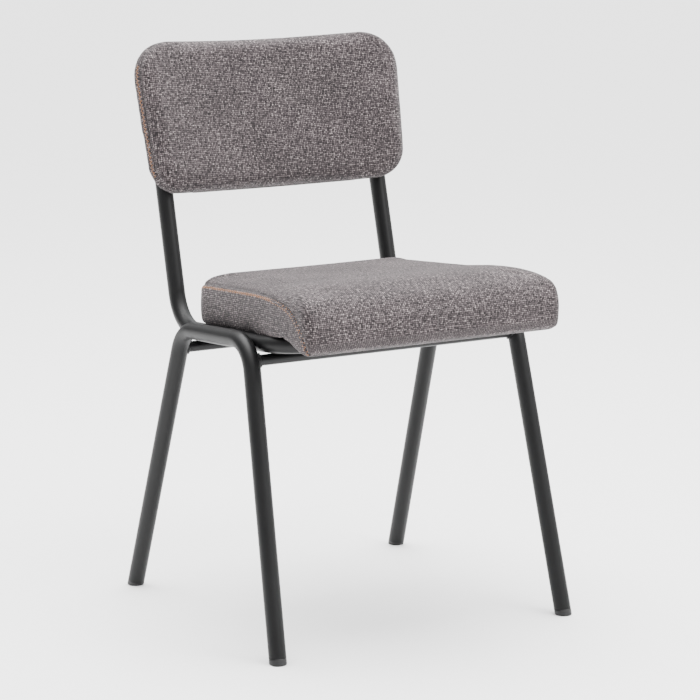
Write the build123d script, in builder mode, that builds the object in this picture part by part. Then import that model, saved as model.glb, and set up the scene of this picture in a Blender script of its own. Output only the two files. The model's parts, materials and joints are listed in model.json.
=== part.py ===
"""Dining chair with an upholstered seat and back on a bent steel tube frame.

Millimetres. +Z is up, the chair faces -Y, and +X is its left-right axis.
The origin is on the floor, in the middle of the chair's outline.
"""
import os
from math import atan2, cos, radians, sin, tan

from build123d import *

# ---------------------------------------------------------------- frame tubes
tube_diameter = 25.0
tube_wall = 1.5
leg_bend_radius = 50.0  # centre line of the leg frames' two bends
seat_bend_radius = 60.0  # where the uprights turn forward under the seat
front_bend_radius = 58.0  # where the side rails turn across under the seat's front
cross_tube_diameter = 16.0

# ---------------------------------------------------------------- leg frames
front_foot_y = -240.0  # centre lines where they meet the floor
rear_foot_y = 222.0
front_foot_half_width = 239.0
rear_foot_half_width = 231.7
front_shoulder_y = -126.4  # corners of the leg frame's centre line
rear_shoulder_y = 81.0
rear_shoulder_height = 416.9
front_shoulder_rise = 17.6  # of the front corner over the rear one
front_shoulder_half_width = 219.0

# ---------------------------------------------------------------- back and seat tube
rail_over_shoulder = 1.2  # centre line of the side rails at y = 0, over the rear corner
rail_rise = 0.0865  # rise of the seat per mm towards the front
front_run_setback = 82.0  # centre line of the run across the front, behind the seat's front
rail_front_line = 221.8  # the rails' centre lines lie one tube's width inside these half widths
rail_rear_line = 209.8
upright_foot_y = 151.6  # corner between the uprights and the side rails
upright_lean = 14.6  # degrees back from vertical
upright_inset = 0.42  # degrees inwards, going up
upright_top_rise = 351.9  # over the side rails' height

# ---------------------------------------------------------------- cross tubes and welds
front_cross_rise = 1.4  # of the centre line over the rails' underside at y = 0
rear_cross_drop = 17.7  # below the rails' underside at y = 0
cross_weld_size = 2.5
rail_weld_size = 4.5
rail_weld_length = 24.0
rail_weld_stations = (-66.0, 33.0)  # y of the welds between the rails and the leg frames

# ---------------------------------------------------------------- feet and plugs
glide_height = 8.0  # plastic under the tube's end, on the leg's centre line
glide_edge = 1.6
plug_depth = 20.0
plug_clearance = 0.1
plug_chamfer = 1.5
upright_cap_height = 3.0
upright_cap_edge = 1.4

# ---------------------------------------------------------------- seat
seat_front_half_width = 201.0
seat_rear_half_width = 180.5
seat_front_reach = 270.0  # from y = 0, along the board
seat_rear_reach = 104.0
seat_front_corner = 12.0
seat_rear_corner = 34.0
seat_thickness = 67.0
seat_rear_rounding = 24.0
seat_front_fall = 150.0  # length over which the top curves down to the front
seat_front_face = 14.0  # height above the board's plane where the front face stands upright
seat_board_thickness = 10.0
seat_board_inset = 7.0  # from the pad's outline
lip_setback = 83.0  # where the board turns down, behind the seat's front
lip_bend_radius = 50.0
lip_angle = 21.0
lip_length = 66.0  # along the board, from the start of the bend
lip_nose = 8.0  # bevel under the front edge
seat_panel_from_middle = 150.0  # the side panels' cloth all lies outside this
seat_panel_outline = [  # behind the seat's front, and height, in the seat's side view
    (366.0, -40.0), (366.0, 54.0), (161.0, 54.0), (109.0, 49.4), (61.0, 41.7),
    (32.5, 27.5), (16.0, 8.4), (10.0, -21.0), (10.0, -40.0),
]

# ---------------------------------------------------------------- back pad
back_bottom_rise = 177.1  # over the side rails' height, on the uprights' centre line
back_height = 225.0  # along the lean
back_bottom_half_width = 213.5
back_top_half_width = 225.5
back_bottom_corner = 45.0
back_top_corner = 58.0
back_thickness = 35.0
back_rear_radius = 736.0  # plan curve of the rear face
back_board_thickness = 10.0
back_board_inset = 9.0
back_side_panel_width = 14.0  # from the rear face forwards
back_side_panel_reach = 60.0
back_rear_margin = 14.0  # main fabric turned over the board's edge

# ---------------------------------------------------------------- cloth and fixings
cover_thickness = 1.2
cover_margin = 28.0  # cloth turned under the seat board
dust_cover_thickness = 0.6
dust_cover_inset = 14.0
screw_diameter = 6.0
screw_head_diameter = 12.0
screw_head_height = 3.2
screw_clearance = 0.3
washer_diameter = 15.0
washer_thickness = 1.6
nut_clearance = 0.05
nut_barrel_diameter = 8.0
nut_barrel_length = 7.0
nut_flange_diameter = 18.0
nut_flange_thickness = 1.2
tab_thickness = 3.0
tab_width = 30.0
tab_reach = 34.0
tab_stop = 4.0  # between the tab's end and the rail's centre line
tab_corner = 6.0
tab_hole_from_rail = 25.0
seat_screw_stations = (-79.0, 36.0)  # y of the seat's fixings
back_screw_stations = (55.0, 135.0)  # above the pad's lower edge, along the lean
back_nut_reach = 9.0  # from the uprights' front to the flange
screw_tip = 4.0  # room past the nut's flange
screw_head_edge = 1.0
hex_key_size = 4.0
hex_key_depth = 2.0

# ---------------------------------------------------------------- worked out
tube_radius = tube_diameter / 2
bore_radius = tube_radius - tube_wall
cross_radius = cross_tube_diameter / 2
sides = {"left": -1, "right": 1}
front_shoulder_height = rear_shoulder_height + front_shoulder_rise
rail_height = rear_shoulder_height + rail_over_shoulder
rail_front_y = front_run_setback - seat_front_reach
rail_front_half_width = rail_front_line - tube_diameter
upright_foot_half_width = rail_rear_line - tube_diameter
upright_top_height = rail_height + upright_top_rise
front_cross_height = rail_height - tube_radius + front_cross_rise
rear_cross_height = rail_height - tube_radius - rear_cross_drop
lip_start = seat_front_reach - lip_setback
back_bottom_height = rail_height + back_bottom_rise
back_nut_depth = tube_radius + back_nut_reach
far = 400.0  # longer than any piece, for cutting tools

# Each leg frame lies in one plane: x = plane_x + plane_per_y * y + plane_per_z * z.
plane_per_y = (rear_foot_half_width - front_foot_half_width) / (rear_foot_y - front_foot_y)
plane_x = front_foot_half_width - plane_per_y * front_foot_y
shoulder_without_lean = plane_x + plane_per_y * front_shoulder_y
plane_per_z = (front_shoulder_half_width - shoulder_without_lean) / front_shoulder_height
rear_shoulder_half_width = plane_x + plane_per_y * rear_shoulder_y + plane_per_z * rear_shoulder_height

# The seat's plane lies on the rails and the dust cover, with y along the board to the rear.
seat_tilt = atan2(rail_rise, 1)
seat_plane = Plane(
    origin=(0, 0, rail_height + (tube_radius + dust_cover_thickness) / cos(seat_tilt)),
    x_dir=(1, 0, 0),
    z_dir=(0, sin(seat_tilt), cos(seat_tilt)),
)
seat_nut_depth = tab_thickness + dust_cover_thickness + cover_thickness + seat_board_thickness
seat_side_plane = Plane(origin=seat_plane.origin, x_dir=seat_plane.y_dir, z_dir=(1, 0, 0))


def rail_axis_height(y):
    return rail_height - rail_rise * y


def rail_half_width(y):
    """Half the distance between the side rails' centre lines at y."""
    share = (upright_foot_y - y) / (upright_foot_y - rail_front_y)
    return upright_foot_half_width + (rail_front_half_width - upright_foot_half_width) * share


def upright_point(side, height):
    """A point on an upright's centre line; side 0 is midway between the two."""
    rise = height - rail_axis_height(upright_foot_y)
    half_width = upright_foot_half_width - rise * tan(radians(upright_inset))
    return Vector(side * half_width, upright_foot_y + rise * tan(radians(upright_lean)), height)


# The back's plane holds the uprights' centre lines, with y up the lean and z to the front.
lean = radians(upright_lean)
back_foot = upright_point(0, back_bottom_height)
back_plane = Plane(origin=back_foot, x_dir=(1, 0, 0), z_dir=(0, -cos(lean), sin(lean)))
back_section_plane = Plane(origin=back_foot, x_dir=(1, 0, 0), z_dir=-back_plane.y_dir)
# The rear face touches the uprights' tops, which fixes how far its middle lies from their plane.
upright_top_half_width = upright_point(1, upright_top_height + upright_cap_height).X
upright_reach = ((back_rear_radius + tube_radius) ** 2 - upright_top_half_width**2) ** 0.5
back_rear_middle = upright_reach - back_rear_radius

os.makedirs("parts", exist_ok=True)


def save(part, name):
    part.label = name
    export_step(part, f"parts/{name}.step")
    print(f"{name:26s} {len(part.solids()):2d} solids {part.volume / 1000:9.2f} cm3")


# ================================================================ tubes
def bar_along(points, radii, radius):
    """A round bar along straight runs joined by bends."""
    with BuildPart() as bar:
        with BuildLine() as path:
            FilletPolyline(*points, radius=radii)
        with BuildSketch(path.line ^ 0):
            Circle(radius)
        sweep()
    return bar.part


def leg_frame_points(side):
    """Corners of a leg frame's centre line, from the front foot to the rear foot."""
    return [
        Vector(side * front_foot_half_width, front_foot_y, 0),
        Vector(side * front_shoulder_half_width, front_shoulder_y, front_shoulder_height),
        Vector(side * rear_shoulder_half_width, rear_shoulder_y, rear_shoulder_height),
        Vector(side * rear_foot_half_width, rear_foot_y, 0),
    ]


def cut_to_glides(points):
    """The same corners, with both ends shortened by the glide's height."""
    first = points[0] + (points[1] - points[0]).normalized() * glide_height
    last = points[-1] + (points[-2] - points[-1]).normalized() * glide_height
    return [first, *points[1:-1], last]


leg_bars = {}
leg_paths = {}
for side_name, side in sides.items():
    leg_path = cut_to_glides(leg_frame_points(side))
    leg_radii = [leg_bend_radius, leg_bend_radius]
    leg_bars[side_name] = bar_along(leg_path, leg_radii, tube_radius)
    leg_paths[side_name] = leg_path, leg_radii
    with BuildPart() as leg_frame:
        add(leg_bars[side_name])
        add(bar_along(leg_path, leg_radii, bore_radius), mode=Mode.SUBTRACT)
    save(leg_frame.part, f"leg_frame_{side_name}")

back_tube_half = [
    upright_point(-1, upright_top_height),
    Vector(-upright_foot_half_width, upright_foot_y, rail_axis_height(upright_foot_y)),
    Vector(-rail_front_half_width, rail_front_y, rail_axis_height(rail_front_y)),
]
back_tube_path = back_tube_half + [Vector(-p.X, p.Y, p.Z) for p in reversed(back_tube_half)]
back_tube_radii = [seat_bend_radius, front_bend_radius, front_bend_radius, seat_bend_radius]
back_bar = bar_along(back_tube_path, back_tube_radii, tube_radius)

# Fixing planes stand where a screw's head seats, with z away from the pad.
seat_fixings = []
for side in sides.values():
    for y in seat_screw_stations:
        inset_x = side * (rail_half_width(y) - tab_hole_from_rail)
        tab_underside = -(dust_cover_thickness + tab_thickness)
        origin = seat_plane.from_local_coords(Vector(inset_x, y, tab_underside))
        seat_fixings.append(Plane(origin=origin, x_dir=(1, 0, 0), z_dir=-seat_plane.z_dir))
back_fixings = []
for side in sides.values():
    for up in back_screw_stations:
        origin = upright_point(side, back_bottom_height + up * cos(lean))
        back_fixings.append(Plane(origin=origin, x_dir=(1, 0, 0), z_dir=-back_plane.z_dir))

with BuildPart() as back_seat_tube:
    add(back_bar)
    add(bar_along(back_tube_path, back_tube_radii, bore_radius), mode=Mode.SUBTRACT)
    for fixing in back_fixings:
        with BuildSketch(fixing):
            Circle(screw_diameter / 2 + screw_clearance)
        extrude(amount=tube_diameter, both=True, mode=Mode.SUBTRACT)
save(back_seat_tube.part, "back_seat_tube")


# ================================================================ cross tubes
def leg_axis_y(shoulder_index, foot_index, height):
    """Where a leg's centre line, its bend included, passes a height."""
    corners = leg_frame_points(1)
    shoulder, foot = corners[shoulder_index], corners[foot_index]
    other = corners[3 - shoulder_index]
    to_foot = (foot - shoulder).normalized()
    to_other = (other - shoulder).normalized()
    half_angle = radians(to_foot.get_angle(to_other)) / 2
    bend_end = shoulder + to_foot * (leg_bend_radius / tan(half_angle))
    if height <= bend_end.Z:
        share = (shoulder.Z - height) / shoulder.Z
        return shoulder.Y + (foot.Y - shoulder.Y) * share
    bend_centre = shoulder + (to_foot + to_other).normalized() * (leg_bend_radius / sin(half_angle))
    reach = (leg_bend_radius**2 - (height - bend_centre.Z) ** 2) ** 0.5
    return bend_centre.Y + (reach if foot.Y > shoulder.Y else -reach)


def cross_plane(y, z):
    return Plane(origin=(0, y, z), x_dir=(0, 1, 0), z_dir=(1, 0, 0))


cross_lines = {
    "front": (leg_axis_y(1, 0, front_cross_height), front_cross_height),
    "rear": (leg_axis_y(2, 3, rear_cross_height), rear_cross_height),
}
cross_bars = []
for name, (y, z) in cross_lines.items():
    with BuildPart() as cross_bar:
        with BuildSketch(cross_plane(y, z)):
            Circle(cross_radius)
        extrude(amount=front_shoulder_half_width, both=True)
    cross_bars.append(cross_bar.part)
    with BuildPart() as cross_tube:
        with BuildSketch(cross_plane(y, z)):
            Circle(cross_radius)
            Circle(cross_radius - tube_wall, mode=Mode.SUBTRACT)
        extrude(amount=front_shoulder_half_width, both=True)
        for leg_bar in leg_bars.values():
            add(leg_bar, mode=Mode.SUBTRACT)
    coped = cross_tube.part.solids().sort_by(SortBy.VOLUME)[-1]
    save(Part([coped]), f"{name}_cross_tube")

# ================================================================ welds
# A weld fills the room within its own size of both tubes that it joins.
cross_welds = []
for side_name, (leg_path, leg_radii) in leg_paths.items():
    side = sides[side_name]
    for y, z in cross_lines.values():
        with BuildPart() as cross_weld:
            with BuildSketch(cross_plane(y, z)):
                Circle(cross_radius + cross_weld_size)
                Circle(cross_radius, mode=Mode.SUBTRACT)
            extrude(amount=side * front_shoulder_half_width)
            add(bar_along(leg_path, leg_radii, tube_radius + cross_weld_size), mode=Mode.INTERSECT)
            add(leg_bars[side_name], mode=Mode.SUBTRACT)
        cross_welds += cross_weld.part.solids().sort_by(SortBy.VOLUME)[-1:]
save(Part(cross_welds), "cross_tube_welds")

swollen_back_bar = bar_along(back_tube_path, back_tube_radii, tube_radius + rail_weld_size)
rail_welds = []
for side_name, (leg_path, leg_radii) in leg_paths.items():
    side = sides[side_name]
    for y in rail_weld_stations:
        with BuildPart() as rail_weld:
            with BuildSketch(Plane.XZ.offset(-y - rail_weld_length / 2)):
                with Locations((side * rail_half_width(y), rail_axis_height(y))):
                    Rectangle(4 * tube_diameter, 2 * tube_diameter)
            extrude(amount=rail_weld_length)
            add(swollen_back_bar, mode=Mode.INTERSECT)
            add(bar_along(leg_path, leg_radii, tube_radius + rail_weld_size), mode=Mode.INTERSECT)
            add(leg_bars[side_name], mode=Mode.SUBTRACT)
            add(back_bar, mode=Mode.SUBTRACT)
        rail_welds += rail_weld.part.solids()
save(Part(rail_welds), "rail_welds")

# ================================================================ feet and plugs
foot_ends = {"front": (0, 1), "rear": (3, 2)}
for side_name, side in sides.items():
    for end_name, (foot_index, shoulder_index) in foot_ends.items():
        corners = leg_frame_points(side)
        up = (corners[shoulder_index] - corners[foot_index]).normalized()
        tube_end = corners[foot_index] + up * glide_height
        with BuildPart() as glide:
            with BuildSketch(Plane(origin=tube_end, z_dir=-up)):
                Circle(tube_radius)
            extrude(amount=2 * glide_height)
            split(bisect_by=Plane.XY, keep=Keep.TOP)
            fillet(glide.faces().sort_by(Axis.Z)[0].edges(), radius=glide_edge)
            with BuildSketch(Plane(origin=tube_end, z_dir=up)):
                Circle(bore_radius - plug_clearance)
            extrude(amount=plug_depth)
            plug_top = glide.faces().sort_by(Axis.Z)[-1]
            chamfer(plug_top.edges(), length=plug_chamfer)
        save(glide.part, f"foot_glide_{end_name}_{side_name}")

for side_name, side in sides.items():
    top = upright_point(side, upright_top_height)
    up = (top - upright_point(side, back_bottom_height)).normalized()
    with BuildPart() as plug:
        with BuildSketch(Plane(origin=top, z_dir=up)):
            Circle(tube_radius)
        extrude(amount=upright_cap_height)
        fillet(plug.faces().sort_by(Axis.Z)[-1].edges(), radius=upright_cap_edge)
        with BuildSketch(Plane(origin=top, z_dir=-up)):
            Circle(bore_radius - plug_clearance)
        extrude(amount=plug_depth)
    save(plug.part, f"upright_plug_{side_name}")


# ================================================================ seat pad
def seat_side_x(y, inset):
    """Half width of the seat's outline at y."""
    share = (seat_rear_reach - y) / (seat_rear_reach + seat_front_reach)
    return seat_rear_half_width + (seat_front_half_width - seat_rear_half_width) * share - inset


def seat_outline(inset, front_reach=seat_front_reach):
    """The seat's plan outline, inset, on the seat's plane."""
    front_y, rear_y = -(front_reach - inset), seat_rear_reach - inset
    front_x, rear_x = seat_side_x(front_y, inset), seat_side_x(rear_y, inset)
    corner_points = [(front_x, front_y), (rear_x, rear_y), (-rear_x, rear_y), (-front_x, front_y)]
    corner_radii = [seat_front_corner - inset, seat_rear_corner - inset] * 2
    corner_radii[2], corner_radii[3] = corner_radii[1], corner_radii[0]
    with BuildSketch(seat_plane) as outline:
        with BuildLine():
            FilletPolyline(*corner_points, radius=[max(r, 2.0) for r in corner_radii], close=True)
        make_face()
    return outline.sketch


turn = radians(lip_angle)
lip_run = lip_length - lip_bend_radius * turn


def board_line(height):
    """Bend start, bend end and tip of the board's line at a height above its underside."""
    bend_radius = lip_bend_radius + height
    bend_end = (-lip_start - bend_radius * sin(turn), height - bend_radius * (1 - cos(turn)))
    tip = (bend_end[0] - lip_run * cos(turn), bend_end[1] - lip_run * sin(turn))
    return (-lip_start, height), bend_end, tip


def seat_body(inset):
    """The seat pad's whole body, its skin moved in by an inset."""
    top = seat_thickness - inset
    front, rear = -(seat_front_reach - inset), seat_rear_reach - inset
    bend_start, bend_end, tip = board_line(inset)
    face, fall = (front, seat_front_face), (front + seat_front_fall, top)
    with BuildPart() as body:
        with BuildSketch(seat_side_plane):
            with BuildLine():
                Line((rear, inset), bend_start)
                RadiusArc(bend_start, bend_end, lip_bend_radius + inset)
                Polyline(bend_end, tip, (front, tip[1] + lip_nose), face)
                Spline(face, fall, tangents=[(0, 1), (1, 0)])
                Line(fall, (rear - seat_rear_rounding, top))
                RadiusArc(
                    (rear - seat_rear_rounding, top), (rear, top - seat_rear_rounding), seat_rear_rounding
                )
                Line((rear, top - seat_rear_rounding), (rear, inset))
            make_face()
        extrude(amount=far, both=True)
        extrude(seat_outline(inset), amount=far, both=True, mode=Mode.INTERSECT)
    return body.part


def through_seat(fixing_radius):
    """Bars on the seat's screw lines, to cut holes with."""
    with BuildPart() as bars:
        for fixing in seat_fixings:
            with BuildSketch(fixing):
                Circle(fixing_radius)
            extrude(amount=seat_nut_depth + 2 * nut_barrel_length, both=True)
    return bars.part


def tee_nuts(fixings, depth):
    """Nuts on screw lines, their flanges' near faces a depth behind each fixing plane."""
    with BuildPart() as nuts:
        for fixing in fixings:
            with BuildSketch(fixing.offset(-depth)):
                Circle(nut_flange_diameter / 2)
            extrude(amount=-nut_flange_thickness)
            with BuildSketch(fixing.offset(-depth)):
                Circle(nut_barrel_diameter / 2)
            extrude(amount=nut_barrel_length)
            with BuildSketch(fixing.offset(-depth)):
                Circle(screw_diameter / 2 + nut_clearance)
            extrude(amount=nut_barrel_length + nut_flange_thickness, both=True, mode=Mode.SUBTRACT)
    return nuts.part


def nut_room(fixings, depth):
    """The room that the nuts and the screws' tips take up in wood and foam."""
    with BuildPart() as room:
        for fixing in fixings:
            with BuildSketch(fixing.offset(-depth)):
                Circle(nut_flange_diameter / 2)
            extrude(amount=-nut_flange_thickness)
            with BuildSketch(fixing.offset(-depth - nut_flange_thickness)):
                Circle(screw_diameter / 2 + screw_clearance)
            extrude(amount=-screw_tip)
            with BuildSketch(fixing.offset(-depth)):
                Circle(nut_barrel_diameter / 2)
            extrude(amount=depth)
    return room.part


def screws(fixings, depth, seat_height):
    """Screws with their heads' undersides a seat height above each fixing plane."""
    with BuildPart() as group:
        for fixing in fixings:
            with BuildSketch(fixing.offset(seat_height)):
                Circle(screw_head_diameter / 2)
            extrude(amount=screw_head_height)
            with BuildSketch(fixing.offset(seat_height)):
                Circle(screw_diameter / 2)
            extrude(amount=-(seat_height + depth + nut_flange_thickness + screw_tip / 2))
            with BuildSketch(fixing.offset(seat_height + screw_head_height)):
                RegularPolygon(hex_key_size / 2, 6, major_radius=False)
            extrude(amount=-hex_key_depth, mode=Mode.SUBTRACT)
        tops = group.edges().filter_by(GeomType.CIRCLE).filter_by(
            lambda edge: abs(edge.radius - screw_head_diameter / 2) < 0.01
        )
        fillet(tops, radius=screw_head_edge)
    return group.part


def washers(fixings, height):
    """Washers standing on planes a height above each fixing plane."""
    with BuildPart() as group:
        for fixing in fixings:
            with BuildSketch(fixing.offset(height)):
                Circle(washer_diameter / 2)
                Circle(screw_diameter / 2 + screw_clearance, mode=Mode.SUBTRACT)
            extrude(amount=washer_thickness)
    return group.part


seat_nut_room = nut_room(seat_fixings, seat_nut_depth)
seat_screw_room = through_seat(screw_diameter / 2 + screw_clearance)

with BuildPart() as seat_board:
    with BuildSketch(seat_side_plane):
        low_start, low_end, low_tip = board_line(cover_thickness)
        high_start, high_end, high_tip = board_line(cover_thickness + seat_board_thickness)
        with BuildLine():
            Line((far, cover_thickness), low_start)
            RadiusArc(low_start, low_end, lip_bend_radius + cover_thickness)
            Polyline(low_end, low_tip, high_tip, high_end)
            RadiusArc(high_end, high_start, -(lip_bend_radius + cover_thickness + seat_board_thickness))
            Polyline(high_start, (far, cover_thickness + seat_board_thickness), (far, cover_thickness))
        make_face()
    extrude(amount=far, both=True)
    extrude(seat_outline(seat_board_inset), amount=far, both=True, mode=Mode.INTERSECT)
    add(seat_nut_room, mode=Mode.SUBTRACT)
save(seat_board.part, "seat_board")

seat_inner = seat_body(cover_thickness)
with BuildPart() as seat_foam:
    add(seat_inner)
    add(seat_board.part, mode=Mode.SUBTRACT)
    add(seat_nut_room, mode=Mode.SUBTRACT)
save(Part([seat_foam.part.solids().sort_by(SortBy.VOLUME)[-1]]), "seat_foam")

with BuildPart() as seat_skin:
    add(seat_body(0))
    add(seat_inner, mode=Mode.SUBTRACT)
    extrude(seat_outline(cover_margin), amount=-far, mode=Mode.SUBTRACT)
    extrude(seat_outline(cover_margin), amount=cover_thickness, mode=Mode.SUBTRACT)
    add(seat_screw_room, mode=Mode.SUBTRACT)
for side_name, side in sides.items():
    with BuildPart() as seat_side_panel:
        with BuildSketch(seat_side_plane.offset(side * seat_panel_from_middle)):
            Polygon(*((back - seat_front_reach, up) for back, up in seat_panel_outline), align=None)
        extrude(amount=side * far)
        add(seat_skin.part, mode=Mode.INTERSECT)
        extrude(seat_outline(cover_thickness), amount=cover_thickness, both=True, mode=Mode.SUBTRACT)
    panel = Part([seat_side_panel.part.solids().sort_by(SortBy.VOLUME)[-1]])
    save(panel, f"seat_side_panel_{side_name}")
    with seat_skin:
        add(panel, mode=Mode.SUBTRACT)
save(Part([seat_skin.part.solids().sort_by(SortBy.VOLUME)[-1]]), "seat_cover_main")

with BuildPart() as seat_dust_cover:
    extrude(seat_outline(dust_cover_inset, front_reach=lip_start), amount=-dust_cover_thickness)
    add(seat_screw_room, mode=Mode.SUBTRACT)
save(seat_dust_cover.part, "seat_dust_cover")

with BuildPart() as seat_tabs:
    for fixing, side in zip(seat_fixings, [-1, -1, 1, 1]):
        with BuildSketch(fixing):
            with Locations((side * (tab_hole_from_rail - tab_stop - tab_reach / 2), 0)):
                RectangleRounded(tab_reach, tab_width, tab_corner)
            Circle(screw_diameter / 2 + screw_clearance, mode=Mode.SUBTRACT)
        extrude(amount=-tab_thickness)
    add(back_bar, mode=Mode.SUBTRACT)
save(seat_tabs.part, "seat_fixing_tabs")
save(tee_nuts(seat_fixings, seat_nut_depth), "seat_tee_nuts")
save(washers(seat_fixings, 0), "seat_washers")
save(screws(seat_fixings, seat_nut_depth, washer_thickness), "seat_screws")


# ================================================================ back pad
def back_outline(inset):
    """The back pad's outline, inset, on the back's plane."""
    low, high = inset, back_height - inset
    low_x, high_x = back_bottom_half_width - inset, back_top_half_width - inset
    low_round, high_round = back_bottom_corner - inset, back_top_corner - inset
    with BuildSketch(back_plane) as outline:
        with BuildLine():
            FilletPolyline(
                (-low_x, low), (low_x, low), (high_x, high), (-high_x, high),
                radius=[low_round, low_round, high_round, high_round],
                close=True,
            )
        make_face()
    return outline.sketch


def back_layer(rear_depth, front_depth):
    """A curved sheet between two depths in front of the pad's rear face, of any outline."""
    with BuildPart() as layer:
        with BuildSketch(back_section_plane):
            with Locations((0, back_rear_middle + back_rear_radius)):
                Circle(back_rear_radius - rear_depth)
                Circle(back_rear_radius - front_depth, mode=Mode.SUBTRACT)
            with Locations((0, back_rear_middle + back_rear_radius)):
                Rectangle(3 * back_rear_radius, 2 * back_rear_radius, align=(Align.CENTER, Align.MIN),
                          mode=Mode.SUBTRACT)
        extrude(amount=far, both=True)
    return layer.part


def back_piece(rear_depth, front_depth, inset):
    with BuildPart() as piece:
        add(back_layer(rear_depth, front_depth))
        extrude(back_outline(inset), amount=far / 2, both=True, mode=Mode.INTERSECT)
    return piece.part


back_nut_room = nut_room(back_fixings, back_nut_depth)
board_front = cover_thickness + back_board_thickness
with BuildPart() as back_board:
    add(back_piece(cover_thickness, board_front, back_board_inset))
    add(back_nut_room, mode=Mode.SUBTRACT)
save(back_board.part, "back_board")

back_inner = back_piece(cover_thickness, back_thickness - cover_thickness, cover_thickness)
with BuildPart() as back_foam:
    add(back_inner)
    add(back_board.part, mode=Mode.SUBTRACT)
    add(back_nut_room, mode=Mode.SUBTRACT)
save(Part([back_foam.part.solids().sort_by(SortBy.VOLUME)[-1]]), "back_foam")

with BuildPart() as back_rear_panel:
    add(back_piece(0, cover_thickness, back_rear_margin))
    add(back_nut_room, mode=Mode.SUBTRACT)
save(back_rear_panel.part, "back_rear_panel")

with BuildPart() as back_skin:
    add(back_piece(0, back_thickness, 0))
    add(back_inner, mode=Mode.SUBTRACT)
    add(back_piece(-1, cover_thickness, back_rear_margin), mode=Mode.SUBTRACT)
    add(back_nut_room, mode=Mode.SUBTRACT)
for side_name, side in sides.items():
    with BuildPart() as back_side_panel:
        with BuildSketch(back_plane):
            with Locations((side * back_bottom_half_width, back_height / 2)):
                Rectangle(back_side_panel_reach, back_height - back_bottom_corner)
        extrude(amount=far / 2, both=True)
        add(back_layer(cover_thickness, back_side_panel_width), mode=Mode.INTERSECT)
        add(back_skin.part, mode=Mode.INTERSECT)
    panel = Part([back_side_panel.part.solids().sort_by(SortBy.VOLUME)[-1]])
    save(panel, f"back_side_panel_{side_name}")
    with back_skin:
        add(panel, mode=Mode.SUBTRACT)
save(Part([back_skin.part.solids().sort_by(SortBy.VOLUME)[-1]]), "back_cover_main")

save(tee_nuts(back_fixings, back_nut_depth), "back_tee_nuts")
save(washers(back_fixings, tube_radius), "back_washers")
save(screws(back_fixings, back_nut_depth, tube_radius + washer_thickness), "back_screws")
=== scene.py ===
import json
from math import atan2, cos, pi, radians, sin, sqrt

import bmesh
import bpy
import numpy as np
from mathutils import Matrix, Vector
from mathutils.bvhtree import BVHTree


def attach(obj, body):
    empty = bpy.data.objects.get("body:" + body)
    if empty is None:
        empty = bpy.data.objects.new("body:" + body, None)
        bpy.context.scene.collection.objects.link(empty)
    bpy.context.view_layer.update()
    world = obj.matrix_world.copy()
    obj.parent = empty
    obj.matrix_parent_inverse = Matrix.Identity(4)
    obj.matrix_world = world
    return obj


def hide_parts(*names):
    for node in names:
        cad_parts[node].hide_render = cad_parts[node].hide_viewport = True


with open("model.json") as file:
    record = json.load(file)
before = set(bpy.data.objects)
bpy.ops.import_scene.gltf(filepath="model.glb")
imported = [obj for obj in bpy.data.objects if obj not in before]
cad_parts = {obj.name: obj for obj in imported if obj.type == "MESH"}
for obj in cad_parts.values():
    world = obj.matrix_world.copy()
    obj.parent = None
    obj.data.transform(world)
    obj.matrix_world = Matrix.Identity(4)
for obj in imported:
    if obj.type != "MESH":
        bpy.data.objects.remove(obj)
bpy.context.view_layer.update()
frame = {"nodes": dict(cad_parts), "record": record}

# ---------------------------------------------------------------- sizes, in metres
SEAT_ORIGIN_HEIGHT = 0.43125  # the seat's plane at y = 0
SEAT_RISE = 0.0865  # per metre towards the front
BACK_LEAN = radians(14.6)
BACK_FOOT = Vector((0.0, 0.2011, 0.5952))
BACK_RADIUS = 0.736
BACK_MIDDLE = -0.0105  # the rear face's middle, in front of the uprights' plane
SEAT_THICKNESS = 0.067
SEAT_EDGE_WIDTH, SEAT_EDGE_RISE = 0.034, 0.0210  # the rounding of the seat's top edges
SEAT_BULGE_FROM, SEAT_BULGE_TO = 0.045, 0.004  # in from the side, where the bulge starts and is full
SEAT_FOLD = 0.021  # most cloth that folds over the edge above the side seam
BACK_HEIGHT = 0.225
BACK_THICKNESS = 0.035
BACK_EDGE_WIDTH, BACK_EDGE_RISE = 0.012, 0.015  # the rounding of the back's front edges
BACK_CORNER = 0.050
SEAM_WIDTH = 0.0016
SEAT_GROOVE, BACK_GROOVE = 0.0020, 0.0018
WEAVE_PITCH = 0.0028  # of one pair of threads
THREAD_RADIUS = 0.00024
STITCH_PITCH = 0.0060
STITCH_WIDTH = 0.0050
BACK_STITCHES_FROM, BACK_STITCHES_LENGTH = 0.022, 0.176
BACK_STITCHES_POINTS = 60
FLOOR_SIZE = 40
SKY_STRENGTH = 6.5
CAMERA_TARGET = Vector((0.01142, -0.009, 0.37854))
CAMERA_AZIMUTH, CAMERA_ELEVATION = radians(-30.34), radians(11.32)
CAMERA_DISTANCE = 4.176
CAMERA_LENS, CAMERA_SENSOR = 146.07, 36.0  # in millimetres

seat_tilt = atan2(SEAT_RISE, 1)
seat_space = Matrix.Translation((0, 0, SEAT_ORIGIN_HEIGHT)) @ Matrix.Rotation(-seat_tilt, 4, "X")
back_x = Vector((1, 0, 0))
back_up = Vector((0, sin(BACK_LEAN), cos(BACK_LEAN)))
back_out = Vector((0, -cos(BACK_LEAN), sin(BACK_LEAN)))
back_space = Matrix.Translation(BACK_FOOT) @ Matrix((back_x, back_up, back_out)).transposed().to_4x4()


# ---------------------------------------------------------------- materials
def colour(code):
    """A linear colour from an sRGB hex code."""
    values = [int(code[i : i + 2], 16) / 255 for i in (0, 2, 4)]
    return [v / 12.92 if v <= 0.04045 else ((v + 0.055) / 1.055) ** 2.4 for v in values] + [1.0]


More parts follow.
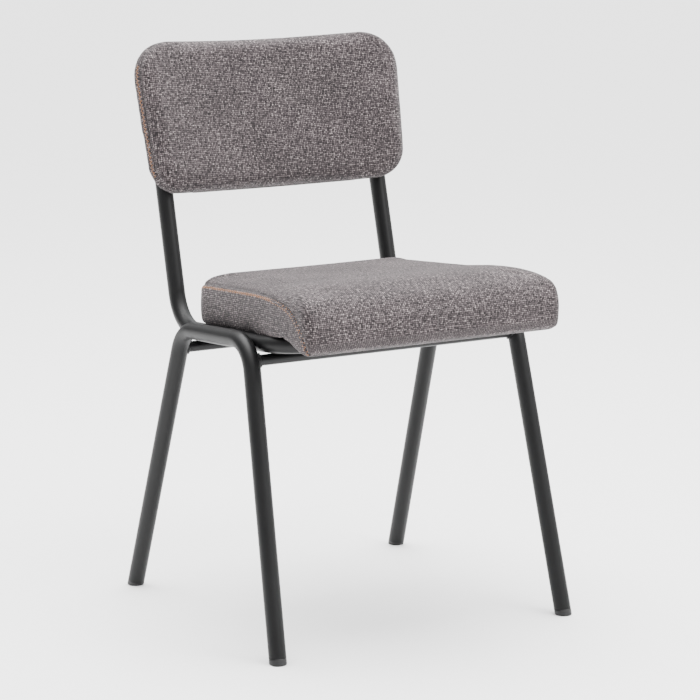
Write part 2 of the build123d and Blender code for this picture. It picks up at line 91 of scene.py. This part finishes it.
def add_node(tree, kind, links=None, **settings):
    """Adds a node. settings are its properties, or its inputs where the name starts with in_."""
    made = tree.nodes.new(kind)
    for name, value in settings.items():
        if name.startswith("in_"):
            key = name[3:]
            key = int(key) if key.isdigit() else key.replace("_", " ")
            made.inputs[key].default_value = value
        else:
            setattr(made, name, value)
    for key, source in (links or {}).items():
        tree.links.new(source, made.inputs[key])
    return made


def new_material(name):
    """An empty material with a Principled shader, and its tree and shader."""
    material = bpy.data.materials.new(name)
    material.use_nodes = True
    tree = material.node_tree
    tree.nodes.clear()
    shader = tree.nodes.new("ShaderNodeBsdfPrincipled")
    output = tree.nodes.new("ShaderNodeOutputMaterial")
    tree.links.new(shader.outputs[0], output.inputs[0])
    return material, tree, shader


def maths(tree, operation, a, b=None):
    """One maths node; a and b are sockets or numbers."""
    made = add_node(tree, "ShaderNodeMath", operation=operation)
    for index, value in enumerate((a, b)):
        if value is None:
            continue
        if isinstance(value, (int, float)):
            made.inputs[index].default_value = value
        else:
            tree.links.new(value, made.inputs[index])
    return made.outputs[0]


def ramp(tree, source, stops):
    """A colour ramp; stops are (place, colour)."""
    made = add_node(tree, "ShaderNodeValToRGB", {0: source})
    band = made.color_ramp
    while len(band.elements) < len(stops):
        band.elements.new(0.5)
    for element, (place, value) in zip(band.elements, stops):
        element.position = place
        element.color = value
    return made.outputs[0]


def noise(tree, vector, scale, detail=3.0, roughness=0.5):
    settings = {"in_Scale": scale, "in_Detail": detail, "in_Roughness": roughness}
    return add_node(tree, "ShaderNodeTexNoise", {"Vector": vector}, **settings).outputs[0]


def coords(tree):
    return add_node(tree, "ShaderNodeTexCoord").outputs["Object"]


def mix(tree, factor, a, b, blend="MIX"):
    """A colour mix; each value is a socket, a number or a colour."""
    made = add_node(tree, "ShaderNodeMix", data_type="RGBA", blend_type=blend)
    for index, value in ((0, factor), (6, a), (7, b)):
        if isinstance(value, bpy.types.NodeSocket):
            tree.links.new(value, made.inputs[index])
        else:
            made.inputs[index].default_value = value
    return made.outputs[2]


def bump(tree, height, distance, strength=1.0):
    return add_node(
        tree, "ShaderNodeBump", {"Height": height}, in_Distance=distance, in_Strength=strength
    ).outputs[0]


def powder_coat():
    """Satin graphite powder coat, with the coating's fine orange peel."""
    material, tree, shader = new_material("graphite_powder_coat")
    place = coords(tree)
    peel = noise(tree, place, 900, 2)
    cloud = noise(tree, place, 14, 3)
    tone = ramp(tree, cloud, [(0.3, colour("060607")), (0.7, colour("09090a"))])
    tree.links.new(tone, shader.inputs["Base Color"])
    rough = add_node(tree, "ShaderNodeMapRange", {0: cloud}, in_3=0.40, in_4=0.48).outputs[0]
    shader.inputs["Specular IOR Level"].default_value = 0.25
    tree.links.new(rough, shader.inputs["Roughness"])
    tree.links.new(bump(tree, peel, 0.00006, 0.5), shader.inputs["Normal"])
    return material


def moulded_plastic():
    """Black moulded plastic with a fine spark-eroded grain, scuffed low down."""
    material, tree, shader = new_material("black_moulded_plastic")
    place = coords(tree)
    grain = noise(tree, place, 1500, 2)
    scuffs = noise(tree, place, 120, 4, 0.7)
    tone = ramp(tree, scuffs, [(0.45, colour("08080a")), (0.75, colour("101011"))])
    tree.links.new(tone, shader.inputs["Base Color"])
    shader.inputs["Roughness"].default_value = 0.5
    tree.links.new(bump(tree, grain, 0.00005, 0.6), shader.inputs["Normal"])
    return material


def zinc_plate():
    """Zinc-plated steel."""
    material, tree, shader = new_material("zinc_plated_steel")
    patches = noise(tree, coords(tree), 260, 3)
    tone = ramp(tree, patches, [(0.35, colour("8b8d90")), (0.7, colour("a3a4a4"))])
    tree.links.new(tone, shader.inputs["Base Color"])
    shader.inputs["Metallic"].default_value = 1.0
    rough = add_node(tree, "ShaderNodeMapRange", {0: patches}, in_3=0.28, in_4=0.45).outputs[0]
    tree.links.new(rough, shader.inputs["Roughness"])
    return material


def birch_plywood():
    """Birch veneer, with its grain across the board and its plies at the edges."""
    material, tree, shader = new_material("birch_plywood")
    place = coords(tree)
    stretched = add_node(tree, "ShaderNodeMapping", {"Vector": place}, in_Scale=(6, 90, 90)).outputs[0]
    grain = noise(tree, stretched, 4, 6, 0.6)
    tone = ramp(tree, grain, [(0.3, colour("b08f63")), (0.55, colour("cbaa7c")), (0.8, colour("d8bd93"))])
    tree.links.new(tone, shader.inputs["Base Color"])
    shader.inputs["Roughness"].default_value = 0.6
    tree.links.new(bump(tree, grain, 0.0002, 0.4), shader.inputs["Normal"])
    return material


def cream_foam():
    """Cream upholstery foam with its open cells."""
    material, tree, shader = new_material("cream_foam")
    cells = add_node(tree, "ShaderNodeTexVoronoi", {"Vector": coords(tree)}, in_Scale=900.0).outputs[0]
    tone = ramp(tree, cells, [(0.0, colour("cfc6a4")), (0.6, colour("ece5cb"))])
    tree.links.new(tone, shader.inputs["Base Color"])
    shader.inputs["Roughness"].default_value = 0.9
    tree.links.new(bump(tree, cells, 0.0004, 0.7), shader.inputs["Normal"])
    return material


def black_nonwoven():
    """Black non-woven cloth, point bonded in a small diamond grid."""
    material, tree, shader = new_material("black_nonwoven_cloth")
    place = coords(tree)
    turned = add_node(tree, "ShaderNodeMapping", {"Vector": place}, in_Rotation=(0, 0, pi / 4)).outputs[0]
    dots = add_node(
        tree, "ShaderNodeTexVoronoi", {"Vector": turned}, in_Scale=520.0, in_Randomness=0.05
    ).outputs[0]
    fibre = noise(tree, place, 1800, 4, 0.7)
    tone = mix(tree, fibre, colour("141415"), colour("2a2a2b"))
    tree.links.new(tone, shader.inputs["Base Color"])
    shader.inputs["Roughness"].default_value = 0.85
    tree.links.new(bump(tree, dots, 0.0003, 0.6), shader.inputs["Normal"])
    return material


def basket_weave():
    """Grey melange basket weave: pairs of warm light and brown-grey threads, with painted shade in the
    seams, painted shade in the weave's gaps and a painted highlight on its crowns.
    """
    material, tree, shader = new_material("melange_basket_weave")
    place = add_node(tree, "ShaderNodeAttribute", attribute_name="cloth").outputs["Vector"]
    slub = noise(tree, place, 55, 3)
    split = add_node(tree, "ShaderNodeSeparateXYZ", {0: place})
    wander = maths(tree, "MULTIPLY", maths(tree, "SUBTRACT", slub, 0.5), 0.0014)
    cell = 1 / WEAVE_PITCH
    u = maths(tree, "MULTIPLY", maths(tree, "ADD", split.outputs[0], wander), cell)
    v = maths(tree, "MULTIPLY", maths(tree, "ADD", split.outputs[1], wander), cell)
    parity = maths(
        tree, "PINGPONG", maths(tree, "ADD", maths(tree, "FLOOR", u), maths(tree, "FLOOR", v)), 1.0
    )

    def swell_of(place):
        """How far a float stands up across its own cell: 0 at the cell's edges, 1 in its middle."""
        return maths(tree, "ABSOLUTE", maths(tree, "SINE", maths(tree, "MULTIPLY", place, pi)))

    def thread(across, along):
        """Height of a pair of threads that floats over one cell, and a shade that is the pair's own."""
        pair = maths(tree, "ABSOLUTE", maths(tree, "SINE", maths(tree, "MULTIPLY", across, 2 * pi)))
        ridge = maths(tree, "ADD", maths(tree, "MULTIPLY", pair, 0.3), 0.7)
        crown = maths(tree, "POWER", swell_of(along), 0.9)
        height = maths(tree, "MULTIPLY", maths(tree, "MULTIPLY", ridge, swell_of(across)), crown)
        seed = add_node(tree, "ShaderNodeCombineXYZ", {0: maths(tree, "FLOOR", across), 1: along})
        own = noise(tree, seed.outputs[0], 0.83, 2, 0.8)
        return height, own

    warp_height, warp_shade = thread(u, v)
    weft_height, weft_shade = thread(v, u)
    height = mix(tree, parity, warp_height, weft_height)
    shade = mix(tree, parity, warp_shade, weft_shade)
    tone = ramp(
        tree,
        shade,
        [
            (0.30, colour("161415")), (0.42, colour("352f31")), (0.50, colour("544d4f")),
            (0.58, colour("756d6e")), (0.70, colour("a9a1a0")),
        ],
    )
    blotch = noise(tree, place, 11, 3)
    patches = ramp(tree, blotch, [(0.3, colour("a09a9b")), (0.7, colour("dcd7d7"))])
    tone = mix(tree, 0.8, tone, patches, "MULTIPLY")
    # Painted shade and highlight: the threads' height darkens the weave's gaps and lightens its crowns.
    depth = add_node(tree, "ShaderNodeMapRange", {0: height}, in_1=0.0, in_2=0.6, in_3=0.10, in_4=1.35)
    tone = mix(tree, 1.0, tone, depth.outputs[0], "MULTIPLY")
    # Painted shade in the seam grooves: the cloth is darkened towards 1f1d1e where the seam mask is set.
    seam_shade = add_node(tree, "ShaderNodeAttribute", attribute_name="seam_shade").outputs["Fac"]
    tone = mix(tree, maths(tree, "MULTIPLY", seam_shade, 0.55), tone, colour("1f1d1e"))
    tree.links.new(tone, shader.inputs["Base Color"])
    shader.inputs["Roughness"].default_value = 0.86
    shader.inputs["Specular IOR Level"].default_value = 0.25
    shader.inputs["Sheen Weight"].default_value = 0.10
    shader.inputs["Sheen Roughness"].default_value = 0.45
    tree.links.new(bump(tree, height, 0.0006, 0.75), shader.inputs["Normal"])
    return material


def copper_thread():
    """Copper-orange polyester sewing thread, with its twist."""
    material, tree, shader = new_material("copper_orange_thread")
    place = coords(tree)
    twist = noise(tree, place, 2600, 2)
    tone = mix(tree, twist, colour("7d4a1a"), colour("bb7a3e"))
    tree.links.new(tone, shader.inputs["Base Color"])
    shader.inputs["Roughness"].default_value = 0.55
    shader.inputs["Sheen Weight"].default_value = 0.3
    tree.links.new(bump(tree, twist, 0.0001, 0.6), shader.inputs["Normal"])
    return material


def studio_paper():
    """Pale seamless studio paper."""
    material, tree, shader = new_material("pale_studio_paper")
    fibre = noise(tree, coords(tree), 90, 3)
    tone = mix(tree, fibre, colour("f6f6f6"), colour("fafafa"))
    tree.links.new(tone, shader.inputs["Base Color"])
    shader.inputs["Roughness"].default_value = 0.9
    return material


finishes = {
    "frame": powder_coat(),
    "foot": moulded_plastic(),
    "fastener": zinc_plate(),
    "plywood": birch_plywood(),
    "foam": cream_foam(),
    "cloth": basket_weave(),
    "dust_cover": black_nonwoven(),
}
thread_finish = copper_thread()
for part in frame["record"]["subparts"]:
    node_object = frame["nodes"][part["node"]]
    node_object.data.materials.clear()
    node_object.data.materials.append(finishes[part["material_slot"]])


# ---------------------------------------------------------------- soft pads
def joined_copy(name, nodes):
    """A new object that holds copies of these CAD nodes' meshes, their doubles merged."""
    form = bmesh.new()
    for node_name in nodes:
        form.from_mesh(frame["nodes"][node_name].data)
    bmesh.ops.remove_doubles(form, verts=form.verts, dist=0.00001)
    mesh = bpy.data.meshes.new(name)
    form.to_mesh(mesh)
    form.free()
    made = bpy.data.objects.new(name, mesh)
    bpy.context.collection.objects.link(made)
    return made


def apply_modifiers(piece):
    """Bakes a piece's modifiers into its mesh."""
    depsgraph = bpy.context.evaluated_depsgraph_get()
    baked = bpy.data.meshes.new_from_object(piece.evaluated_get(depsgraph))
    piece.modifiers.clear()
    old = piece.data
    piece.data = baked
    bpy.data.meshes.remove(old)


def swell(piece, pinned, pressure, cap, frames=14):
    """Blows a closed cloth up a little; pinned holds how firmly each point is held, from 0 to 1."""
    rest = [v.co.copy() for v in piece.data.vertices]
    group = piece.vertex_groups.new(name="pin")
    for index in np.nonzero(pinned)[0]:
        group.add([int(index)], float(pinned[index]), "REPLACE")
    cloth = piece.modifiers.new("cloth", "CLOTH")
    settings = cloth.settings
    settings.vertex_group_mass = "pin"
    settings.use_pressure = True
    settings.uniform_pressure_force = pressure
    settings.quality = 4
    settings.mass = 0.3
    settings.tension_stiffness = 20
    settings.bending_stiffness = 2.0
    settings.effector_weights.gravity = 0
    cloth.collision_settings.use_self_collision = False
    scene = bpy.context.scene
    for number in range(1, frames + 1):
        scene.frame_set(number)
    apply_modifiers(piece)
    for vertex, place in zip(piece.data.vertices, rest):
        move = vertex.co - place
        if move.length > cap:
            vertex.co = place + move * (cap / move.length)
    piece.vertex_groups.clear()
    scene.frame_set(1)


def make_pad(name, nodes, space, voxel, smoothing, shape, pinned, pressure, cap):
    """A padded piece from CAD solids: one closed skin, smoothed, then swollen as cloth."""
    pad = joined_copy(name, nodes)
    remesh = pad.modifiers.new("remesh", "REMESH")
    remesh.mode = "VOXEL"
    remesh.voxel_size = voxel
    remesh.adaptivity = 0.0
    apply_modifiers(pad)
    form = bmesh.new()
    form.from_mesh(pad.data)
    for _ in range(smoothing):
        bmesh.ops.smooth_vert(
            form, verts=form.verts, factor=0.5, use_axis_x=True, use_axis_y=True, use_axis_z=True
        )
    form.to_mesh(pad.data)
    form.free()
    write_points(pad, space, *shape(*read_points(pad, space)))
    swell(pad, pinned(*read_points(pad, space)), pressure, cap)
    finer = pad.modifiers.new("finer", "SUBSURF")
    finer.levels = finer.render_levels = 1
    apply_modifiers(pad)
    pad.data.materials.clear()
    pad.data.materials.append(finishes["cloth"])
    for face in pad.data.polygons:
        face.use_smooth = True
    return pad


def read_points(piece, space):
    """The piece's vertices as three arrays, in a space of its own."""
    flat = np.empty(len(piece.data.vertices) * 3)
    piece.data.vertices.foreach_get("co", flat)
    inverse = np.array(space.inverted())
    return (inverse[:3, :3] @ flat.reshape(-1, 3).T) + inverse[:3, 3:4]


def write_points(piece, space, x, y, z):
    """Puts the piece's vertices at x, y and z in a space of its own."""
    matrix = np.array(space)
    points = (matrix[:3, :3] @ np.array([x, y, z])) + matrix[:3, 3:4]
    piece.data.vertices.foreach_set("co", points.T.ravel())
    piece.data.update()


def along_line(across, up, line):
    """For each point: its signed distance from a polyline, positive on the left, and the length
    along the polyline to its nearest place."""
    best = np.full(across.shape, 1e9)
    signed, run_there, run = np.zeros(across.shape), np.zeros(across.shape), 0.0
    for a, b in zip(line, line[1:]):
        step = b - a
        share = ((across - a.x) * step.x + (up - a.y) * step.y) / step.length_squared
        share = np.clip(share, 0, 1)
        off_across, off_up = across - a.x - step.x * share, up - a.y - step.y * share
        distance = np.hypot(off_across, off_up)
        nearer = distance < best
        turn = np.where(step.x * off_up - step.y * off_across > 0, 1.0, -1.0)
        best = np.where(nearer, distance, best)
        signed = np.where(nearer, distance * turn, signed)
        run_there = np.where(nearer, run + step.length * share, run_there)
        run += step.length
    return signed, run_there


def ramp_up(value, low, high):
    """0 below low, 1 above high, and smooth between them."""
    share = np.clip((value - low) / (high - low), 0, 1)
    return share * share * (3 - 2 * share)


def smoothed(points, rounds=3):
    """A polyline with its corners cut, rounds times."""
    for _ in range(rounds):
        cut = [points[0]]
        for a, b in zip(points, points[1:]):
            cut += [a.lerp(b, 0.25), a.lerp(b, 0.75)]
        points = cut + [points[-1]]
    return points


def write_cloth(pad, space, cloth_places, seam_amount, groove):
    """Gives a pad its grooves, its cloth coordinates and its seam shading."""
    mesh = pad.data
    x, y, z = read_points(pad, space)
    amount = seam_amount(x, y, z)
    seam_shade = mesh.attributes.new("seam_shade", "FLOAT", "POINT")
    seam_shade.data.foreach_set("value", amount)
    normals = np.empty(len(mesh.vertices) * 3)
    mesh.vertices.foreach_get("normal", normals)
    inward = np.array(space.to_3x3().inverted()) @ normals.reshape(-1, 3).T
    write_points(pad, space, *(np.array([x, y, z]) - inward * groove * amount))
    corner_vertex = np.empty(len(mesh.loops), int)
    mesh.loops.foreach_get("vertex_index", corner_vertex)
    face_normals = np.empty(len(mesh.polygons) * 3)
    mesh.polygons.foreach_get("normal", face_normals)
    face_corners = np.empty(len(mesh.polygons), int)
    mesh.polygons.foreach_get("loop_total", face_corners)
    centres = np.empty(len(mesh.polygons) * 3)
    mesh.polygons.foreach_get("center", centres)
    inverse = np.array(space.inverted())
    facing = (inverse[:3, :3] @ face_normals.reshape(-1, 3).T).repeat(face_corners, axis=1)
    middle = ((inverse[:3, :3] @ centres.reshape(-1, 3).T) + inverse[:3, 3:4]).repeat(face_corners, axis=1)
    place = read_points(pad, space)[:, corner_vertex]
    u, v = cloth_places(place, middle, facing)
    cloth = mesh.attributes.new("cloth", "FLOAT_VECTOR", "CORNER")
    cloth.data.foreach_set("vector", np.array([u, v, np.zeros(u.shape)]).T.ravel())


def stitching(name, path, surface, outwards, lift=0.0002):
    """A zigzag of thread laid on a surface along a path of points; outwards points off the surface."""
    tree = BVHTree.FromObject(surface, bpy.context.evaluated_depsgraph_get())
    runs = [0.0]
    for a, b in zip(path, path[1:]):
        runs.append(runs[-1] + (b - a).length)
    count = int(runs[-1] / (STITCH_PITCH / 2))
    corners = []
    for number in range(count + 1):
        run = number * STITCH_PITCH / 2
        index = max(i for i in range(len(runs) - 1) if runs[i] <= run)
        a, b = path[index], path[index + 1]
        along = (b - a).normalized()
        across = along.cross(outwards).normalized()
        side = STITCH_WIDTH / 2 * (1 if number % 2 else -1)
        place = a + along * (run - runs[index]) + across * side
        hit, normal, _, _ = tree.find_nearest(place)
        if hit is not None:
            corners.append((hit + normal * lift, normal))
    form = bmesh.new()
    sides_count = 6
    for (a, normal_a), (b, normal_b) in zip(corners, corners[1:]):
        along = (b - a).normalized()
        middle = (a + b) / 2
        hit, normal, _, _ = tree.find_nearest(middle)
        stations = [a - along * THREAD_RADIUS, a, a.lerp(b, 0.25), a.lerp(b, 0.5), a.lerp(b, 0.75), b,
                    b + along * THREAD_RADIUS]
        heights = [-0.0009, -0.0001, 0.00025, 0.0004, 0.00025, -0.0001, -0.0009]
        across = along.cross(normal).normalized()
        rings = []
        for place, height in zip(stations, heights):
            centre = place + normal * height
            ring = []
            for k in range(sides_count):
                angle = 2 * pi * k / sides_count
                offset = across * cos(angle) * 1.1 + normal * sin(angle) * 0.85
                ring.append(form.verts.new(centre + offset * THREAD_RADIUS))
            rings.append(ring)
        for low, high in zip(rings, rings[1:]):
            for k in range(sides_count):
                form.faces.new([low[k], low[(k + 1) % sides_count], high[(k + 1) % sides_count], high[k]])
        form.faces.new(list(reversed(rings[0])))
        form.faces.new(rings[-1])
    bmesh.ops.recalc_face_normals(form, faces=form.faces)
    mesh = bpy.data.meshes.new(name)
    form.to_mesh(mesh)
    form.free()
    for face in mesh.polygons:
        face.use_smooth = True
    mesh.materials.append(thread_finish)
    made = bpy.data.objects.new(name, mesh)
    bpy.context.collection.objects.link(made)
    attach(made, "root")
    return made


# ---------------------------------------------------------------- seat
# The side panels' upper seam in the seat's side view: y along the board, and height above it.
seat_seam = smoothed(
    [
        Vector(p) / 1000
        for p in (
            (93.0, 2.0), (95.5, 38.0), (90.0, 53.0), (60.0, 54.0), (-60.0, 54.0), (-109.0, 53.5),
            (-161.0, 49.4), (-209.0, 41.7), (-237.5, 27.5), (-254.0, 8.4), (-260.0, -21.0),
        )
    ]
)


def section_runs(x, y, z):
    """The length round the seat's middle section, as angles about its heart and lengths there."""
    middle = np.abs(x) < 0.004
    angle, order_y, order_z = np.arctan2(y[middle] + 0.075, z[middle] - 0.02), y[middle], z[middle]
    bins = np.linspace(-pi, pi, 181)
    which = np.digitize(angle, bins)
    found = [n for n in range(1, 181) if np.any(which == n)]
    angles = np.array([angle[which == n].mean() for n in found])
    points = np.array([[order_y[which == n].mean(), order_z[which == n].mean()] for n in found])
    steps = np.hypot(*np.diff(points, axis=0).T)
    return angles, np.concatenate([[0], np.cumsum(steps)])


def seat_half_width(y):
    return 0.1805 + 0.0205 * (0.104 - y) / 0.374


def shape_seat(x, y, z):
    """Rounds the seat's top edges, and bulges its sides and its front."""
    side = seat_half_width(y)
    edge, rise = SEAT_EDGE_WIDTH, SEAT_EDGE_RISE
    near = np.clip((np.abs(x) - (side - edge)) / edge, 0, 1)
    high = np.clip((z - (SEAT_THICKNESS - rise)) / rise, 0, 1)
    rounded_x = side - edge + edge * near * np.sqrt(1 - high**2 / 2)
    x = np.where((near > 0) & (high > 0), np.sign(x) * rounded_x, x)
    rounded_z = SEAT_THICKNESS - rise + rise * high * np.sqrt(1 - near**2 / 2)
    z = np.where((near > 0) & (high > 0), rounded_z, z)
    # The sides bulge most at half their height, and their lower edges sink towards the rails.
    bulge = 0.0028 + 0.0040 * np.sin(pi * np.clip((z + 0.016) / 0.070, 0, 1))
    x = x + np.sign(x) * bulge * ramp_up(np.abs(x), side - SEAT_BULGE_FROM, side - SEAT_BULGE_TO)
    sinks = ramp_up(-z, -0.025, 0.0) * ramp_up(y, -0.20, -0.14)
    z = z - 0.0034 * ramp_up(np.abs(x), side - 0.016, side) * sinks
    # The sides flare towards the front, and the front swells over the lip.
    flare = 0.0020 * ramp_up(-y, 0.05, 0.25)
    x = x + np.sign(x) * flare * ramp_up(np.abs(x), side - SEAT_BULGE_FROM, side - SEAT_BULGE_TO)
    y = y - 0.0030 * ramp_up(-y, 0.225, 0.268)
    z = z - 0.0026 * ramp_up(-y, 0.19, 0.24) * ramp_up(-z, -0.012, 0.004)
    return x, y, z


def seat_pin(x, y, z):
    """How firmly the seat's cloth is held: at its underside, and along the side seams."""
    held = np.where(z < 0.004, 1.0, 0.0)
    near = np.abs(along_line(y, z, seat_seam)[0]) < 0.006
    return np.where(near & (np.abs(x) > seat_half_width(y) - 0.02), np.maximum(held, 0.9), held)


def seat_seam_amount(x, y, z):
    distance = along_line(y, z, seat_seam)[0]
    amount = np.exp(-(((distance + 0.0036) / SEAM_WIDTH) ** 2))
    return np.where((np.abs(x) < seat_half_width(y) - 0.028) | (z < -0.03), 0.0, amount)


def seat_cloth_places(place, middle, facing):
    """Where each corner lies on its own piece of cloth: the side panels, the underside or the rest."""
    x, y, z = place
    seam_side = along_line(middle[1], middle[2], seat_seam)[0] > -0.003
    on_side = seam_side & (np.abs(facing[0]) > 0.45) & (np.abs(middle[0]) > 0.15)
    under = facing[2] < -0.7
    girth = np.interp(np.arctan2(y + 0.075, z - 0.02), *section_runs(x, y, z))
    edge = seat_half_width(y) + 0.009
    above = np.clip(-along_line(y, z, seat_seam)[0], 0, SEAT_FOLD)
    across = np.sign(x) * (edge - np.maximum(edge - np.abs(x), 0) - above)
    u = np.where(on_side, y, np.where(under, x, across))
    v = np.where(on_side, z + 3.0, np.where(under, y + 6.0, girth))
    return u, v


seat_pad = make_pad(
    "seat_pad",
    ["seat_cover_main", "seat_side_panel_left", "seat_side_panel_right", "seat_foam", "seat_board"],
    seat_space,
    voxel=0.0048,
    smoothing=4,
    shape=shape_seat,
    pinned=seat_pin,
    pressure=3.0,
    cap=0.002,
)
write_cloth(seat_pad, seat_space, seat_cloth_places, seat_seam_amount, SEAT_GROOVE)
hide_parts("seat_cover_main", "seat_side_panel_left", "seat_side_panel_right", "seat_foam")
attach(seat_pad, "root")

for side_name, side in (("left", -1), ("right", 1)):
    seam_path = [
        seat_space @ Vector((side * (seat_half_width(p.x) + 0.002), p.x, p.y - 0.0008)) for p in seat_seam
    ]
    stitching(f"seat_stitching_{side_name}", seam_path, seat_pad, Vector((side, 0, 0)))


# ---------------------------------------------------------------- seat dust cover
dust = joined_copy("dust_cover", ["seat_dust_cover"])
dust.data.materials.clear()
dust.data.materials.append(finishes["dust_cover"])
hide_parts("seat_dust_cover")
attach(dust, "root")


# ---------------------------------------------------------------- back pad
def back_half_width(up):
    return 0.2135 + 0.012 * up / BACK_HEIGHT


def back_depth(x, z):
    """How far points in the back's space lie in front of the rear face."""
    return BACK_RADIUS - np.hypot(x, z - BACK_MIDDLE - BACK_RADIUS)


def shape_back(x, y, z):
    """Turns the pad's ends square to its curve, thins them, and rounds its front edges."""
    depth = back_depth(x, z)
    half, corner = 0.2195 + 0.012 * (y / BACK_HEIGHT - 0.5), BACK_CORNER
    out_x = np.abs(x) - (half - corner)
    out_y = np.abs(y - BACK_HEIGHT / 2) - (BACK_HEIGHT / 2 - corner)
    reach = np.hypot(np.maximum(out_x, 0), np.maximum(out_y, 0)) + np.minimum(np.maximum(out_x, out_y), 0)
    edge, rise = BACK_EDGE_WIDTH, BACK_EDGE_RISE
    near = np.clip((reach - corner + edge) / edge, 0, 1)
    high = np.clip((depth - (BACK_THICKNESS - rise)) / rise, 0, 1)
    pull = edge * near * (1 - np.sqrt(1 - high**2 / 2))
    length = np.maximum(np.hypot(np.maximum(out_x, 0), np.maximum(out_y, 0)), 1e-6)
    to_x = np.where(out_x > 0, np.maximum(out_x, 0) / length, 0.0) * np.sign(x)
    to_y = np.where(out_y > 0, np.maximum(out_y, 0) / length, 0.0) * np.sign(y - BACK_HEIGHT / 2)
    sink = rise * high * (1 - np.sqrt(1 - near**2 / 2))
    x, y, z = x - to_x * pull, y - to_y * pull, z - sink
    z = z - 0.005 * (x / 0.213) ** 2 * np.clip(depth / BACK_THICKNESS, 0, 1)
    x = x * (1 + (0.011 - depth) * 0.306 / 0.22)
    y = y * 1.006
    return x, y, z


def back_pin(x, y, z):
    return np.where(back_depth(x, z) < 0.016, 1.0, 0.0)


def back_seam_amount(x, y, z):
    depth = back_depth(x, z)
    side = np.abs(x) - back_half_width(y) + 0.02
    top, bottom = y - BACK_HEIGHT + 0.02, 0.02 - y
    corner = np.hypot(np.maximum(0, np.abs(x) - 0.150), np.maximum(0, y - 0.150)) - 0.055
    edge = np.maximum(np.maximum(side, top), np.maximum(bottom, corner))
    amount = np.exp(-(((depth - 0.0160) / SEAM_WIDTH) ** 2))
    return np.where((depth < 0.005) | (edge < 0), 0.0, amount)


def back_cloth_places(place, middle, facing):
    """Where each corner lies on its own piece of cloth: the ends, the edges, the rear or the front."""
    x, y, z = place
    depth = back_depth(x, z)
    around = BACK_RADIUS * np.arcsin(np.clip(x / BACK_RADIUS, -1, 1))
    ends = (np.abs(facing[0]) > 0.75) & (np.abs(middle[0]) > 0.18)
    edges = np.abs(facing[1]) > 0.75
    rear = facing[2] < 0
    u = np.where(ends, depth, np.where(edges, around, np.where(rear, around + 9.0, around)))
    v = np.where(ends, y + 3.0, np.where(edges, depth + 6.0, y))
    return u, v


back_pad = make_pad(
    "back_pad",
    ["back_cover_main", "back_side_panel_left", "back_side_panel_right", "back_rear_panel", "back_foam",
     "back_board"],
    back_space,
    voxel=0.0042,
    smoothing=4,
    shape=shape_back,
    pinned=back_pin,
    pressure=3.0,
    cap=0.003,
)
write_cloth(back_pad, back_space, back_cloth_places, back_seam_amount, BACK_GROOVE)
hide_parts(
    "back_cover_main", "back_side_panel_left", "back_side_panel_right", "back_rear_panel",
    "back_foam"
)
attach(back_pad, "root")

for side_name, side in (("left", -1), ("right", 1)):
    strip = []
    for number in range(BACK_STITCHES_POINTS):
        up = BACK_STITCHES_FROM + BACK_STITCHES_LENGTH * number / (BACK_STITCHES_POINTS - 1)
        half = back_half_width(up) + 0.001
        centre = BACK_MIDDLE + BACK_RADIUS
        reach = BACK_RADIUS - 0.0100
        front = centre - sqrt(reach**2 - half**2)
        strip.append(back_space @ Vector((side * half, up, front)))
    stitching(f"back_stitching_{side_name}", strip, back_pad, Vector((side, 0, 0)))


# ---------------------------------------------------------------- stage, light and camera
floor_form = bmesh.new()
bmesh.ops.create_grid(floor_form, x_segments=2, y_segments=2, size=FLOOR_SIZE)
floor_mesh = bpy.data.meshes.new("floor")
floor_form.to_mesh(floor_mesh)
floor_form.free()
floor = bpy.data.objects.new("floor", floor_mesh)
bpy.context.collection.objects.link(floor)
floor_mesh.materials.append(studio_paper())

world = bpy.data.worlds.new("studio")
bpy.context.scene.world = world
world.use_nodes = True
sky = world.node_tree
sky_direction = add_node(sky, "ShaderNodeTexCoord").outputs["Generated"]
sky_parts = add_node(sky, "ShaderNodeSeparateXYZ", {0: sky_direction})
sky_side = add_node(
    sky, "ShaderNodeMapRange", {0: sky_parts.outputs[0]}, in_1=-0.9, in_2=0.5, in_3=0.35, in_4=1.1
)
sky_stops = [(0.0, (0.07, 0.07, 0.07, 1)), (0.45, (0.30, 0.30, 0.30, 1)), (1.0, (1, 1, 1, 1))]
sky_tone = ramp(sky, sky_parts.outputs[2], sky_stops)
sky_tone = mix(sky, 1.0, sky_tone, sky_side.outputs[0], "MULTIPLY")
sky.links.new(sky_tone, sky.nodes["Background"].inputs["Color"])
sky.nodes["Background"].inputs["Strength"].default_value = SKY_STRENGTH


def area_light(name, place, aim, width, height, power):
    """A soft box that faces a point."""
    data = bpy.data.lights.new(name, "AREA")
    data.shape = "RECTANGLE"
    data.size, data.size_y = width, height
    data.energy = power
    lamp = bpy.data.objects.new(name, data)
    bpy.context.collection.objects.link(lamp)
    lamp.location = place
    lamp.rotation_euler = (Vector(aim) - Vector(place)).to_track_quat("-Z", "Y").to_euler()


area_light("key", (1.6, -3.0, 2.4), (0, 0, 0.5), 1.6, 1.6, 60)
area_light("top", (0.0, 0.3, 3.0), (0, 0, 0.4), 2.6, 2.6, 160)

flat_reach = cos(CAMERA_ELEVATION)
away = Vector((sin(CAMERA_AZIMUTH) * flat_reach, -cos(CAMERA_AZIMUTH) * flat_reach, sin(CAMERA_ELEVATION)))
camera_data = bpy.data.cameras.new("camera")
camera_data.lens = CAMERA_LENS
camera_data.sensor_width = CAMERA_SENSOR
camera = bpy.data.objects.new("camera", camera_data)
bpy.context.collection.objects.link(camera)
camera.location = CAMERA_TARGET + away * CAMERA_DISTANCE
camera.rotation_euler = (-away).to_track_quat("-Z", "Y").to_euler()
bpy.context.scene.camera = camera
